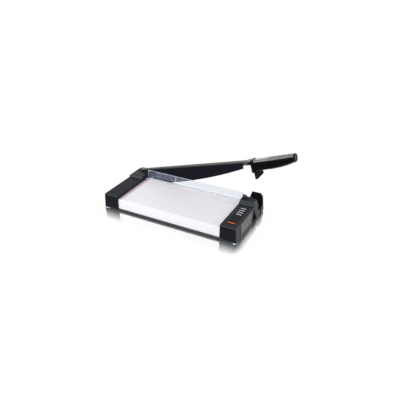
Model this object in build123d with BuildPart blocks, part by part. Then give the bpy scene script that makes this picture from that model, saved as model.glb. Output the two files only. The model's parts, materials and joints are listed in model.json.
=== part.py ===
from build123d import *
import math
import os

# Desk paper cutter with a hinged lever arm, in millimetres. +X runs along the cut from the hinge to
# the handle, +Y away from the person cutting and +Z up. The origin lies on the desk, under the middle
# of the box that the cutter fills with its arm half raised.

# Overall sizes
bed_length = 320.0
housing_width = 49.0
housing_depth = 194.0
housing_height = 46.0
side_lean = 3.0
table_step = 9.0
foot_height = 2.0
cut_setback = 31.0
wall = 2.5
rest_lift = 16.2

# Clearances, and the overrun that every cut has past a face
fit = 0.2
running_gap = 0.1
shaft_gap = 0.05
press_gap = 0.02
overrun = 2.0

# Base plate with its front rim, and its rubber feet
plate_thickness = 2.0
plate_corner = 4.0
rim_thickness = 2.0
rim_height = 3.0
foot_radius = 7.0
foot_inset = 8.0
foot_chamfer = 0.8

# Folded table and the fixed knife behind it
sheet = 2.0
table_bend = 5.0
knife_thickness = 3.5
knife_drop = 25.0
knife_relief = 1.0
knife_screw_count = 5
knife_screw_depth = 12.0
knife_screw_margin = 20.0
knife_screw_radius = 2.0
knife_screw_head = 3.8
knife_screw_angle = 90.0

# Edges of the two housings
edge_chamfer = 2.5
corner_round = 3.0
rear_round = 10.0
boss_radius = 4.0
boss_spread = 22.0
boss_front = 20.0
boss_back = 23.0

# Hinge hump on the left housing
hump_length = 71.0
hump_run = 5.0
hump_height = 5.0
hump_bevel = 2.0
hump_fall = 3.0
hump_fall_run = 24.0
bay_margin = 4.0
bay_ledge = 1.0
arm_slot_gap = 1.2
arm_slot_floor = 4.0
arm_swing = 20.0

# Label plate and side panel of the right housing
label_margin = 6.0
label_front = 9.0
label_back = 9.0
label_depth = 1.2
label_corner = 2.0
panel_front = 28.0
panel_low = 9.0
panel_top_margin = 3.0
panel_back = 16.0
panel_slant = 12.0
panel_thickness = 1.2

# Receiver behind the right housing
receiver_length = 72.0
receiver_bevel = 9.0
receiver_steps = 3
step_run = 4.0
step_flat = 1.2
hump_rise = 8.5
hump_setback = 5.0
notch_clearance = 2.0
notch_slope = 2.0
notch_lead = 8.0
notch_lead_start = 14.0
collar_gap = 1.5
post_width = 36.0
post_spread = 10.0
post_rise = 9.5
post_lean = 3.0
prong_width = 10.0
prong_length = 11.0
prong_height = 6.0
prong_slope = 4.0
arch_depth = 9.0
arch_half = 17.0
arch_crown = 2.0

# Hinge: steel bracket, bolt, nut and washers
hinge_inset = 26.0
line_rise = 4.0
hinge_drop = 13.0
cheek_thickness = 3.0
cheek_radius = 9.5
bolt_radius = 4.0
bolt_head = 5.0
bolt_head_flats = 13.0
nut_thickness = 6.5
bolt_tail = 1.5
washer_radius = 8.0
washer_thickness = 1.2
spring_washer_count = 2
spring_washer_dish = 0.4

# Arm rail and blade, measured along the rail's line, from over the hinge, and up from that line
rail_width = 10.0
rail_top = 8.0
rail_bottom = 5.5
rail_round = 4.0
heel_length = 13.0
heel_round = 8.0
rail_overhang = 29.0
eye_radius = 11.0
bushing_radius = 6.5
tang_width = 8.0
tang_top = 1.0
tang_height = 6.0
tang_length = 83.0
blade_thickness = 2.2
blade_start_gap = 11.0
blade_end_reach = 3.0
blade_top = 2.0
blade_floor = 8.8
blade_overlap = 1.0
blade_sag_share = 0.034
bevel_height = 5.0
bevel_depth = 1.7
blade_screw_count = 5
blade_screw_margin = 30.0
blade_screw_radius = 2.5
blade_screw_head = 4.5
blade_screw_rise = 2.6
blade_screw_line = 2.0
blade_screw_bite = 1.6

# Handle: collar, grip and end cap
collar_thickness = 9.0
collar_width = 30.0
collar_top = 9.5
collar_bottom = 27.0
collar_corner = 6.0
collar_chamfer = 1.5
neck_length = 10.0
neck_width = 20.0
neck_depth = 11.5
neck_chamfer = 4.0
grip_length = 111.0
grip_width = 30.0
grip_height = 31.0
grip_drop = 7.2
grip_rise = 12.6
grip_length_shares = (0.0, 0.25, 0.5, 0.75, 1.0)
grip_rise_shares = (0.0, 0.13, 0.285, 0.53, 0.93)
grip_width_shares = (1.0, 0.97, 0.93, 0.88, 0.81)
grip_height_shares = (1.0, 0.995, 1.0, 0.93, 0.725)
grip_corner_shares = (0.26, 0.30, 0.35, 0.41, 0.48)
cap_length = 5.0
cap_chamfer = 1.4
cap_recess = 1.2
cap_rim = 2.6

# Sprung latch lever under the grip
latch_thickness = 5.0
latch_gap = 0.6
latch_pivot_drop = 18.0
latch_eye = 4.0
latch_pin_radius = 1.5
latch_pin_length = 24.0
latch_floor = 1.2
latch_tip_width = 6.5
latch_length = 26.5
latch_back_low = 33.0
latch_back_high = 27.0
latch_shoulder = 20.0
latch_shoulder_cut = 3.0
latch_slot_length = 24.0
latch_slot_roof = 11.5
latch_room = 4.0

# Clear paper clamp, its guide posts and springs
clamp_lift = 3.0
clamp_travel = 2.5
clamp_sheet = 2.0
clamp_flange = 18.0
clamp_lip = 22.0
clamp_setback = 1.5
clamp_round = 1.5
clamp_end_gap = 0.5
lug_reach = 13.0
lug_margin = 1.5
lug_width = 12.0
lug_boss_radius = 5.0
lug_boss_height = 4.0
lug_slot_gap = 1.2
post_inset = 8.5
guide_radius = 2.5
guide_foot_radius = 4.5
guide_foot_height = 18.0
guide_head_radius = 4.2
guide_head_height = 2.6
guide_gap = 0.08
spring_wire = 0.45
spring_turns = 5
latch_spring_wire = 0.3
latch_spring_radius = 1.7
latch_spring_turns = 4
latch_spring_place = 11.0

# Screws under the base, and the bumpers that the collar comes down on
screw_radius = 1.5
screw_head_radius = 3.0
screw_head_height = 1.4
screw_length = 11.0
bracket_screw_length = 4.5
bracket_screw_spread = 16.0
receiver_screw_inset = 24.0
receiver_screw_front = 16.0
receiver_screw_back = 4.5
receiver_screw_side = 21.5
bumper_size = 8.0
bumper_gap = 0.5

# Places that follow from the sizes
lift_cos = math.cos(math.radians(rest_lift))
lift_sin = math.sin(math.radians(rest_lift))
bed_start = housing_width - hinge_inset
rail_end = bed_start + bed_length + rail_overhang
blade_start = bed_start + blade_start_gap
blade_end = bed_start + bed_length + blade_end_reach
handle_reach = rail_end + collar_thickness + grip_length + cap_length
cap_middle = grip_rise * grip_rise_shares[-1] - grip_drop
cap_low = cap_middle - grip_height * grip_height_shares[-1] / 2 + cap_chamfer
overall_length = hinge_inset + handle_reach * lift_cos - cap_low * lift_sin
left_out = -overall_length / 2
left_in = left_out + housing_width
right_in = left_in + bed_length
right_out = right_in + housing_width
front = -housing_depth / 2
rear = front + housing_depth
cut_y = rear - cut_setback
table_height = housing_height - table_step
line_height = housing_height + line_rise
hinge_height = line_height - hinge_drop
closed_line = hinge_height + hinge_drop * lift_cos
closed_shift = hinge_drop * lift_sin
blade_heel = closed_line - blade_floor
blade_tip = closed_line - table_height + blade_overlap
blade_sag = (blade_end - blade_start) * blade_sag_share
latch_tip = closed_line - latch_floor
notch_floor = closed_line - collar_bottom - notch_clearance
plate_top = foot_height + plate_thickness
knife_front = cut_y - knife_thickness
apron_face = front + rim_thickness + fit
hinge_x = left_out + hinge_inset
rail_front = cut_y + running_gap + blade_thickness
rail_back = rail_front + rail_width
arm_y = rail_front + rail_width / 2
collar_end = rail_end + collar_thickness
grip_end = collar_end + grip_length
latch_slot = latch_thickness + latch_gap * 2
latch_pivot_s = rail_end + collar_thickness / 2
latch_slot_x = hinge_x + closed_shift + rail_end - latch_room
clamp_low = table_height + clamp_lift
lip_back = cut_y - clamp_setback
flange_front = lip_back - clamp_flange
guide_y = flange_front + lug_margin + lug_width / 2
guide_places = ((left_in - post_inset, guide_y), (right_in + post_inset, guide_y))
lug_bottom = clamp_low - lug_boss_height
spring_seat = plate_top + guide_foot_height
hump_top = housing_height + hump_height
hump_start = rear - hump_length
bay_start = hump_start + bay_margin
hump_outer = left_out + side_lean
receiver_front = rear - receiver_length
receiver_top = housing_height + hump_rise
post_top = housing_height + post_rise
stand = (Align.CENTER, Align.CENTER, Align.MIN)


def rectangle(x_low, x_high, y_low, y_high, mode=Mode.ADD):
    """A rectangle between two corners, drawn in the sketch that is open."""
    with Locations(((x_low + x_high) / 2, (y_low + y_high) / 2)):
        Rectangle(x_high - x_low, y_high - y_low, mode=mode)


def along_y(x, y, z):
    """A plane that faces +Y, for bolts and pins that lie across the arm."""
    return Plane(origin=(x, y, z), x_dir=(1, 0, 0), z_dir=(0, 1, 0))


def across(s):
    """The plane square to the rail at a distance along it: x across the arm, y up from its line."""
    return Plane(origin=arm_plane.from_local_coords((s, 0, 0)), x_dir=(0, 1, 0), z_dir=arm_plane.x_dir)


def spread(low, high, count):
    """Evenly spaced places from one end to the other."""
    return [low + (high - low) * i / (count - 1) for i in range(count)]


# The arm's own plane, tilted by the rest lift: x along the rail, y up from its line, facing the front
arm_plane = Plane(origin=(hinge_x, arm_y, line_height), x_dir=(lift_cos, 0, lift_sin), z_dir=(0, -1, 0))
pivot_plane = Plane(origin=(hinge_x, arm_y, hinge_height), x_dir=(1, 0, 0), z_dir=(0, -1, 0))

# Screw places under the base: four in each long housing, two in the receiver, two in the bracket
left_middle = (left_out + left_in) / 2
right_middle = (right_in + right_out) / 2
boss_rows = (front + boss_front, hump_start - boss_back)
left_bosses = [(left_middle + side * boss_spread / 2, y) for side in (-1, 1) for y in boss_rows]
right_bosses = [(right_middle + side * boss_spread / 2, y) for side in (-1, 1) for y in boss_rows]
receiver_holes = [
    (right_in + receiver_screw_inset, receiver_front + receiver_screw_front),
    (right_out - receiver_screw_side, rear - receiver_screw_back),
]
bracket_holes = [(hinge_x + side * bracket_screw_spread / 2, arm_y) for side in (-1, 1)]
long_screws = left_bosses + right_bosses + receiver_holes

# Base plate: one steel pan under everything, open behind the knife where the blade comes down
with BuildPart() as base_plate:
    with BuildSketch(Plane.XY.offset(foot_height)) as plate_plan:
        rectangle(left_out, right_out, front, rear)
        hinge_corner = (left_out, rear, 0)
        fillet(plate_plan.vertices().sort_by_distance(hinge_corner)[1:], plate_corner)
        fillet(plate_plan.vertices().sort_by_distance(hinge_corner)[0], rear_round)
        rectangle(left_in, right_in, knife_front, rear + overrun, Mode.SUBTRACT)
        rectangle(
            latch_slot_x, right_out + overrun, arm_y - latch_slot / 2, arm_y + latch_slot / 2, Mode.SUBTRACT
        )
    extrude(amount=plate_thickness)
    with BuildSketch(Plane.XY.offset(plate_top)):
        rectangle(left_in + fit, right_in - fit, front, front + rim_thickness)
    extrude(amount=rim_height)
    with Locations(*[(x, y, plate_top) for x, y in long_screws + bracket_holes]):
        Hole(screw_radius + shaft_gap, plate_thickness)
base_plate.part.label = "base_plate"

# Rubber feet under the four corners
foot_places = [
    (x, y) for x in (left_out + foot_inset, right_out - foot_inset)
    for y in (front + foot_inset, rear - foot_inset)
]
with BuildPart() as rubber_feet:
    with Locations(*foot_places):
        Cylinder(foot_radius, foot_height, align=stand)
    chamfer(rubber_feet.edges().group_by(Axis.Z)[0], foot_chamfer)
rubber_feet.part.label = "rubber_feet"

# Table: one sheet folded down at the front into an apron and at the back into a flange
with BuildPart() as table_top:
    with BuildSketch(Plane.YZ.offset(left_in + fit)) as table_section:
        Polygon(
            (apron_face, plate_top), (apron_face, table_height), (knife_front, table_height),
            (knife_front, plate_top), (knife_front - sheet, plate_top),
            (knife_front - sheet, table_height - sheet), (apron_face + sheet, table_height - sheet),
            (apron_face + sheet, plate_top), align=None,
        )
        outer_corner = (apron_face, table_height, 0)
        inner_corner = (apron_face + sheet, table_height - sheet, 0)
        fillet(table_section.vertices().sort_by_distance(outer_corner)[0], table_bend)
        fillet(table_section.vertices().sort_by_distance(inner_corner)[0], table_bend - sheet)
    extrude(amount=bed_length - fit * 2)
    knife_screw_xs = spread(left_in + knife_screw_margin, right_in - knife_screw_margin, knife_screw_count)
    knife_screw_z = table_height - knife_screw_depth
    with Locations(*[along_y(x, knife_front, knife_screw_z) for x in knife_screw_xs]):
        Cylinder(knife_screw_radius + shaft_gap, sheet * 2, mode=Mode.SUBTRACT)
table_top.part.label = "table_top"

# Fixed knife along the table's rear edge, with its countersunk screws
with BuildPart() as bed_knife:
    with BuildSketch(Plane.YZ.offset(left_in + fit)):
        rectangle(knife_front, cut_y, table_height - knife_drop, table_height)
    extrude(amount=bed_length - fit * 2)
    relief = bed_knife.edges().filter_by(Axis.X).group_by(Axis.Z)[0].sort_by(Axis.Y)[-1]
    chamfer(relief, knife_relief)
    with Locations(*[along_y(x, cut_y, knife_screw_z) for x in knife_screw_xs]):
        CounterSinkHole(
            knife_screw_radius + shaft_gap, knife_screw_head + shaft_gap, knife_thickness, knife_screw_angle
        )
bed_knife.part.label = "bed_knife"

head_depth = knife_screw_head - knife_screw_radius
with BuildPart() as bed_knife_screws:
    with Locations(*[along_y(x, cut_y - head_depth - shaft_gap, knife_screw_z) for x in knife_screw_xs]):
        Cone(knife_screw_radius, knife_screw_head, head_depth, align=stand)
        Cylinder(
            knife_screw_radius, knife_thickness + sheet - head_depth,
            align=(Align.CENTER, Align.CENTER, Align.MAX),
        )
bed_knife_screws.part.label = "bed_knife_screws"

# Left housing: a hollow moulding open below, with a bay at the back for the hinge
with BuildPart() as left_housing:
    with BuildSketch(Plane.XZ.offset(-front)):
        Polygon(
            (left_out, plate_top), (left_in, plate_top), (left_in, housing_height),
            (left_out + side_lean, housing_height), align=None,
        )
    extrude(amount=-housing_depth)
    fillet(left_housing.faces().sort_by(Axis.Y)[0].edges().sort_by(Axis.X)[0], corner_round)
    front_top = left_housing.edges().filter_by(Axis.X).group_by(Axis.Y)[0].sort_by(Axis.Z)[-1]
    chamfer(front_top, edge_chamfer)
    with BuildSketch(Plane.XZ.offset(-front - wall)):
        Polygon(
            (left_out + wall, plate_top - overrun), (left_in - wall, plate_top - overrun),
            (left_in - wall, housing_height - wall),
            (left_out + side_lean + wall, housing_height - wall), align=None,
        )
    extrude(amount=wall * 2 - housing_depth, mode=Mode.SUBTRACT)
    inner_rear = (left_out + side_lean / 2 + wall, rear - wall, table_height / 2)
    fillet(left_housing.edges().sort_by_distance(inner_rear)[0], rear_round - wall)
    fillet(left_housing.faces().sort_by(Axis.Y)[-1].edges().sort_by(Axis.X)[0], rear_round)
    with BuildSketch(Plane.XY.offset(plate_top)):
        with Locations(*left_bosses):
            Circle(boss_radius)
    extrude(amount=housing_height - wall - plate_top)
    with Locations(*[(x, y, plate_top) for x, y in left_bosses]):
        Cylinder(screw_radius + shaft_gap, screw_length, align=stand, mode=Mode.SUBTRACT)
    with BuildSketch(Plane.XY.offset(housing_height - wall)) as bay_plan:
        rectangle(hump_outer + wall + bay_ledge, left_in - wall, bay_start, rear - wall - bay_ledge)
        bay_corner = bay_plan.vertices().sort_by_distance((hump_outer, rear, 0))[0]
        fillet(bay_corner, rear_round - wall)
    extrude(amount=wall + overrun, mode=Mode.SUBTRACT)
    with BuildSketch(Plane.YZ.offset(left_in - wall - overrun)):
        rectangle(
            rail_front - arm_slot_gap, rail_back + arm_slot_gap,
            housing_height - arm_slot_floor, housing_height + overrun,
        )
        rectangle(
            guide_y - lug_width / 2 - lug_slot_gap, guide_y + lug_width / 2 + lug_slot_gap,
            lug_bottom - clamp_travel - lug_slot_gap, clamp_low + clamp_sheet + lug_slot_gap,
        )
    extrude(amount=wall + overrun * 2, mode=Mode.SUBTRACT)
left_housing.part.label = "left_housing"


def hump_solid(inset):
    """The low hump over the hinge, or its hollow when an inset is given."""
    low = housing_height - inset * 2
    with BuildPart() as hump:
        with BuildSketch(Plane.YZ.offset(left_out)):
            Polygon(
                (hump_start, low), (hump_start, housing_height), (hump_start + hump_run, hump_top),
                (rear - hump_fall_run, hump_top), (rear, hump_top - hump_fall), (rear, low), align=None,
            )
            offset(amount=-inset, kind=Kind.INTERSECTION)
        extrude(amount=housing_width)
        with BuildSketch(Plane.XZ.offset(-hump_start)):
            Polygon(
                (hump_outer, low), (left_in, low), (left_in, hump_top),
                (hump_outer + hump_bevel, hump_top), (hump_outer, hump_top - hump_bevel), align=None,
            )
            offset(amount=-inset, kind=Kind.INTERSECTION)
        extrude(amount=-hump_length, mode=Mode.INTERSECT)
        with BuildSketch(Plane.XY.offset(low)) as hump_plan:
            rectangle(hump_outer + inset, left_in - inset, hump_start + inset, rear - inset)
            hump_corner = hump_plan.vertices().sort_by_distance((hump_outer, rear, 0))[0]
            fillet(hump_corner, rear_round - inset)
        extrude(amount=hump_top, mode=Mode.INTERSECT)
    return hump.part


# Hinge cover: the hump over the bay, slotted at the back for the arm
hump_outside = hump_solid(0.0)
hump_inside = hump_solid(wall)
with BuildPart() as hinge_cover:
    add(hump_outside)
    add(hump_inside, mode=Mode.SUBTRACT)
    with BuildSketch(Plane.XY.offset(housing_height - overrun)):
        rectangle(
            hinge_x - arm_swing, left_in + overrun, rail_front - arm_slot_gap, rail_back + arm_slot_gap
        )
    extrude(amount=hump_height + overrun * 2, mode=Mode.SUBTRACT)
hinge_cover.part.label = "hinge_cover"

# Arch between the right housing and the receiver, cut into the outer side of both
with BuildPart() as arch:
    with BuildSketch(Plane.YZ.offset(right_out - arch_depth)):
        Polygon(
            (receiver_front - arch_half, plate_top), (receiver_front, housing_height - arch_crown),
            (receiver_front + arch_half, plate_top), align=None,
        )
    extrude(amount=arch_depth + overrun)

# Right housing: a hollow moulding up to the receiver, with a recess for its label plate
label_low_x = right_in + label_margin
label_high_x = right_out - side_lean - label_margin
label_low_y = front + label_front
label_high_y = receiver_front - label_back
with BuildPart() as right_housing:
    with BuildSketch(Plane.XZ.offset(-front)):
        Polygon(
            (right_in, plate_top), (right_out, plate_top), (right_out - side_lean, housing_height),
            (right_in, housing_height), align=None,
        )
    extrude(amount=front - receiver_front)
    fillet(right_housing.faces().sort_by(Axis.Y)[0].edges().sort_by(Axis.X)[-1], corner_round)
    front_top = right_housing.edges().filter_by(Axis.X).group_by(Axis.Y)[0].sort_by(Axis.Z)[-1]
    chamfer(front_top, edge_chamfer)
    with BuildSketch(Plane.XZ.offset(-front - wall)):
        Polygon(
            (right_in + wall, plate_top - overrun), (right_out - wall, plate_top - overrun),
            (right_out - side_lean - wall, housing_height - wall),
            (right_in + wall, housing_height - wall), align=None,
        )
    extrude(amount=front + wall * 2 + arch_half - receiver_front, mode=Mode.SUBTRACT)
    with BuildSketch(Plane.XY.offset(plate_top)):
        with Locations(*right_bosses):
            Circle(boss_radius)
    extrude(amount=housing_height - wall - plate_top)
    with Locations(*[(x, y, plate_top) for x, y in right_bosses]):
        Cylinder(screw_radius + shaft_gap, screw_length, align=stand, mode=Mode.SUBTRACT)
    add(arch.part, mode=Mode.SUBTRACT)
    with BuildSketch(Plane.XY.offset(housing_height - label_depth)) as label_recess:
        rectangle(label_low_x, label_high_x, label_low_y, label_high_y)
        fillet(label_recess.vertices(), label_corner)
    extrude(amount=label_depth + overrun, mode=Mode.SUBTRACT)
right_housing.part.label = "right_housing"

with BuildPart() as label_plate:
    with BuildSketch(Plane.XY.offset(housing_height - label_depth)) as label_plan:
        rectangle(label_low_x + fit, label_high_x - fit, label_low_y + fit, label_high_y - fit)
        fillet(label_plan.vertices(), label_corner - fit)
    extrude(amount=label_depth)
label_plate.part.label = "label_plate"

# Side panel on the leaning outer wall of the right housing, slanted at its rear end
lean_length = math.hypot(side_lean, housing_height - plate_top)
lean_cos = (housing_height - plate_top) / lean_length
lean_sin = side_lean / lean_length
side_plane = Plane(
    origin=(right_out, 0, plate_top), x_dir=(0, 1, 0), z_dir=(lean_cos, 0, lean_sin)
)
panel_high = lean_length - panel_top_margin
panel_end = receiver_front - panel_back
with BuildPart() as side_panel:
    with BuildSketch(side_plane):
        Polygon(
            (front + panel_front, panel_low), (panel_end - panel_slant, panel_low),
            (panel_end, panel_high), (front + panel_front, panel_high), align=None,
        )
    extrude(amount=panel_thickness)
    outer_rim = side_panel.faces().sort_by(Axis(side_plane.origin, side_plane.z_dir))[-1].edges()
    chamfer(outer_rim, panel_thickness / 2)
side_panel.part.label = "side_panel"

# Receiver: stepped hump, notch that the handle's collar comes down into, and the post behind it
notch_front = arm_y - collar_width / 2 - collar_gap
notch_rear = arm_y + collar_width / 2 + collar_gap
hump_back_y = cut_y - hump_setback
riser = [(receiver_front, housing_height)]
for step in range(receiver_steps):
    z = housing_height + hump_rise * (step + 1) / receiver_steps
    y = receiver_front + step_run * (step + 1)
    riser += [(y - step_flat, z), (y, z)]
with BuildPart() as receiver:
    with BuildSketch(Plane.XZ.offset(-receiver_front)):
        Polygon(
            (right_in, plate_top), (right_out, plate_top), (right_out - side_lean, housing_height),
            (right_out - receiver_bevel, receiver_top), (right_out - receiver_bevel, post_top),
            (right_in, post_top), align=None,
        )
    extrude(amount=-receiver_length)
    with BuildSketch(Plane.YZ.offset(right_in)):
        Polygon(
            (receiver_front, plate_top), *riser, (hump_back_y, receiver_top),
            (hump_back_y + notch_slope, notch_floor), (notch_rear, notch_floor),
            (notch_rear + notch_slope, post_top), (rear - post_lean, post_top), (rear, plate_top),
            align=None,
        )
    extrude(amount=housing_width, mode=Mode.INTERSECT)
    with BuildSketch(Plane.XY.offset(notch_floor)):
        Polygon(
            (right_in + notch_lead_start, hump_back_y + notch_slope),
            (right_out + overrun, hump_back_y + notch_slope),
            (right_out + overrun, hump_back_y - notch_lead), align=None,
        )
    extrude(amount=post_top, mode=Mode.SUBTRACT)
    with BuildSketch(Plane.XZ.offset(overrun - notch_rear)):
        Polygon(
            (right_in - overrun, notch_floor), (right_out - post_width - post_spread, notch_floor),
            (right_out - post_width, post_top), (right_in - overrun, post_top), align=None,
        )
    extrude(amount=notch_rear - rear - overrun * 2, mode=Mode.SUBTRACT)
    with BuildSketch(Plane.YZ.offset(right_in)):
        Polygon(
            (hump_back_y - prong_length, receiver_top),
            (hump_back_y - prong_length + prong_slope, receiver_top + prong_height),
            (hump_back_y - prong_slope, receiver_top + prong_height), (hump_back_y, receiver_top), align=None,
        )
    extrude(amount=prong_width)
    with BuildSketch(Plane.XY.offset(plate_top - overrun)):
        rectangle(latch_slot_x, right_out + overrun, arm_y - latch_slot / 2, arm_y + latch_slot / 2)
    extrude(amount=notch_floor, mode=Mode.SUBTRACT)
    lug_low = guide_y - lug_width / 2 - lug_slot_gap
    lug_high = guide_y + lug_width / 2 + lug_slot_gap
    with BuildSketch(Plane.XY.offset(plate_top - overrun)):
        rectangle(right_in + wall, right_in + lug_reach + lug_slot_gap, lug_low, lug_high)
    extrude(amount=housing_height + overrun - plate_top, mode=Mode.SUBTRACT)
    with BuildSketch(Plane.YZ.offset(right_in - overrun)):
        rectangle(
            lug_low, lug_high,
            lug_bottom - clamp_travel - lug_slot_gap, clamp_low + clamp_sheet + lug_slot_gap,
        )
    extrude(amount=wall + overrun * 2, mode=Mode.SUBTRACT)
    add(arch.part, mode=Mode.SUBTRACT)
    with Locations(*[(x, y, plate_top) for x, y in receiver_holes]):
        Cylinder(screw_radius + shaft_gap, screw_length, align=stand, mode=Mode.SUBTRACT)
receiver.part.label = "receiver"

# Rubber bumpers on the notch's floor, either side of the latch's slot
bumper_top = closed_line - collar_bottom - bumper_gap
bumper_x = hinge_x + closed_shift + latch_pivot_s
bumper_offset = latch_slot / 2 + bumper_size / 2 + fit
with BuildPart() as rest_bumpers:
    with Locations(*[(bumper_x, arm_y + side * bumper_offset, notch_floor) for side in (-1, 1)]):
        Box(bumper_size, bumper_size, bumper_top - notch_floor, align=stand)
rest_bumpers.part.label = "rest_bumpers"

# Hinge bracket: a steel U on the base plate, one cheek either side of the arm
spacer = blade_thickness
spring_pack = spring_washer_count * (washer_thickness + spring_washer_dish)
front_cheek = rail_front - running_gap - spacer - cheek_thickness
back_cheek = rail_back + running_gap + spring_pack
with BuildPart() as hinge_bracket:
    with BuildSketch(Plane.XY.offset(plate_top)):
        rectangle(hinge_x - cheek_radius, hinge_x + cheek_radius, front_cheek, back_cheek + cheek_thickness)
    extrude(amount=cheek_thickness)
    for cheek in (front_cheek, back_cheek):
        with BuildSketch(Plane.XZ.offset(-cheek)):
            rectangle(hinge_x - cheek_radius, hinge_x + cheek_radius, plate_top, hinge_height)
            with Locations((hinge_x, hinge_height)):
                Circle(cheek_radius)
                Circle(bolt_radius + shaft_gap, mode=Mode.SUBTRACT)
        extrude(amount=-cheek_thickness)
    with Locations(*[(x, y, plate_top) for x, y in bracket_holes]):
        Cylinder(screw_radius + shaft_gap, cheek_thickness, align=stand, mode=Mode.SUBTRACT)
hinge_bracket.part.label = "hinge_bracket"

# Hinge bolt, its nut and the washers on it
nut_front = back_cheek + cheek_thickness + washer_thickness
with BuildPart() as hinge_bolt:
    with BuildSketch(along_y(hinge_x, front_cheek - bolt_head, hinge_height)):
        RegularPolygon(bolt_head_flats / 2, 6, major_radius=False)
    extrude(amount=bolt_head)
    with Locations(along_y(hinge_x, front_cheek, hinge_height)):
        Cylinder(bolt_radius, nut_front + nut_thickness + bolt_tail - front_cheek, align=stand)
hinge_bolt.part.label = "hinge_bolt"

with BuildPart() as hinge_nut:
    with BuildSketch(along_y(hinge_x, nut_front, hinge_height)):
        RegularPolygon(bolt_head_flats / 2, 6, major_radius=False)
        Circle(bolt_radius + press_gap, mode=Mode.SUBTRACT)
    extrude(amount=nut_thickness)
hinge_nut.part.label = "hinge_nut"

spacer_front = rail_front - running_gap - spacer
nut_washer_front = back_cheek + cheek_thickness
with BuildPart() as hinge_washers:
    for y, thickness in ((spacer_front, spacer), (nut_washer_front, washer_thickness)):
        with BuildSketch(along_y(hinge_x, y, hinge_height)):
            Circle(washer_radius)
            Circle(bolt_radius + shaft_gap, mode=Mode.SUBTRACT)
        extrude(amount=thickness)
hinge_washers.part.label = "hinge_washers"

# Dished spring washers that give the hinge its drag, set back to back
with BuildPart() as spring_washers:
    for i in range(spring_washer_count):
        tip = 1 if i % 2 else -1
        middle = rail_back + running_gap + (i + 1 / 2) * (washer_thickness + spring_washer_dish)
        inner = bolt_radius + shaft_gap
        lean = tip * spring_washer_dish / 2
        half = washer_thickness / 2
        with BuildSketch(Plane.XY.offset(hinge_height)):
            Polygon(
                (hinge_x + inner, middle - half + lean), (hinge_x + washer_radius, middle - half - lean),
                (hinge_x + washer_radius, middle + half - lean), (hinge_x + inner, middle + half + lean),
                align=None,
            )
        revolve(axis=Axis((hinge_x, 0, hinge_height), (0, 1, 0)))
spring_washers.part.label = "spring_washers"

# Places of the screws that hold the blade, as planes on the rail's middle that face the back
first_screw = blade_start + blade_screw_margin
last_screw = blade_end - blade_screw_margin
blade_screw_planes = [
    along_y(*arm_plane.from_local_coords((s, -blade_screw_line, 0)))
    for s in spread(first_screw, last_screw, blade_screw_count)
]

# Arm rail: a round-topped bar with a rounded heel, an eye under it at the hinge and a tang for the grip
with BuildPart() as arm_rail:
    with BuildSketch(across(-heel_length)) as rail_section:
        rectangle(-rail_width / 2, rail_width / 2, -rail_bottom, rail_top)
        fillet(rail_section.vertices().group_by(Axis.Y)[-1], rail_round)
    extrude(amount=heel_length + rail_end)
    with BuildSketch(arm_plane):
        rectangle(-heel_length, heel_round - heel_length, rail_top - heel_round, rail_top)
        with Locations((heel_round - heel_length, rail_top - heel_round)):
            Circle(heel_round, mode=Mode.SUBTRACT)
    extrude(amount=rail_width, both=True, mode=Mode.SUBTRACT)
    with BuildSketch(pivot_plane):
        Circle(eye_radius)
    extrude(amount=rail_width / 2, both=True)
    with BuildSketch(across(rail_end)):
        rectangle(-tang_width / 2, tang_width / 2, -tang_top - tang_height, -tang_top)
    extrude(amount=tang_length)
    with BuildSketch(pivot_plane):
        Circle(bushing_radius + press_gap)
    extrude(amount=rail_width, both=True, mode=Mode.SUBTRACT)
    with Locations(*blade_screw_planes):
        Cylinder(blade_screw_radius + shaft_gap, rail_width * 2, mode=Mode.SUBTRACT)
arm_rail.part.label = "arm_rail"

with BuildPart() as arm_bushing:
    with BuildSketch(pivot_plane):
        Circle(bushing_radius)
        Circle(bolt_radius + shaft_gap, mode=Mode.SUBTRACT)
    extrude(amount=rail_width / 2, both=True)
arm_bushing.part.label = "arm_bushing"

# Blade: a long plate on the rail's front, with a bowed cutting edge ground on its back
blade_back = arm_plane.offset(rail_width / 2)
with BuildPart() as blade:
    with BuildSketch(blade_back):
        with BuildLine() as blade_outline:
            Polyline(
                (blade_start, -blade_heel), (blade_start, blade_top),
                (blade_end, blade_top), (blade_end, -blade_tip),
            )
            SagittaArc((blade_start, -blade_heel), (blade_end, -blade_tip), -blade_sag)
        make_face()
    extrude(amount=blade_thickness)
    ground_face = blade.faces().sort_by(Axis.Y)[-1]
    cutting_edge = ground_face.edges().filter_by(GeomType.CIRCLE)
    chamfer(cutting_edge, bevel_height, bevel_depth, reference=ground_face)
    screw_reach = rail_width / 2 + blade_screw_bite
    with Locations(*blade_screw_planes):
        with Locations((0, 0, -screw_reach)):
            Cylinder(blade_screw_radius + shaft_gap, screw_reach, align=stand, mode=Mode.SUBTRACT)
blade.part.label = "blade"

# Screws that hold the blade, with round heads on the rail's back and blind ends in the blade
with BuildPart() as blade_screws:
    with Locations(*blade_screw_planes):
        with Locations((0, 0, rail_width / 2)):
            Cylinder(blade_screw_head, blade_screw_rise, align=stand)
        with Locations((0, 0, -screw_reach)):
            Cylinder(blade_screw_radius, screw_reach + rail_width / 2, align=stand)
blade_screws.part.label = "blade_screws"

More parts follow.
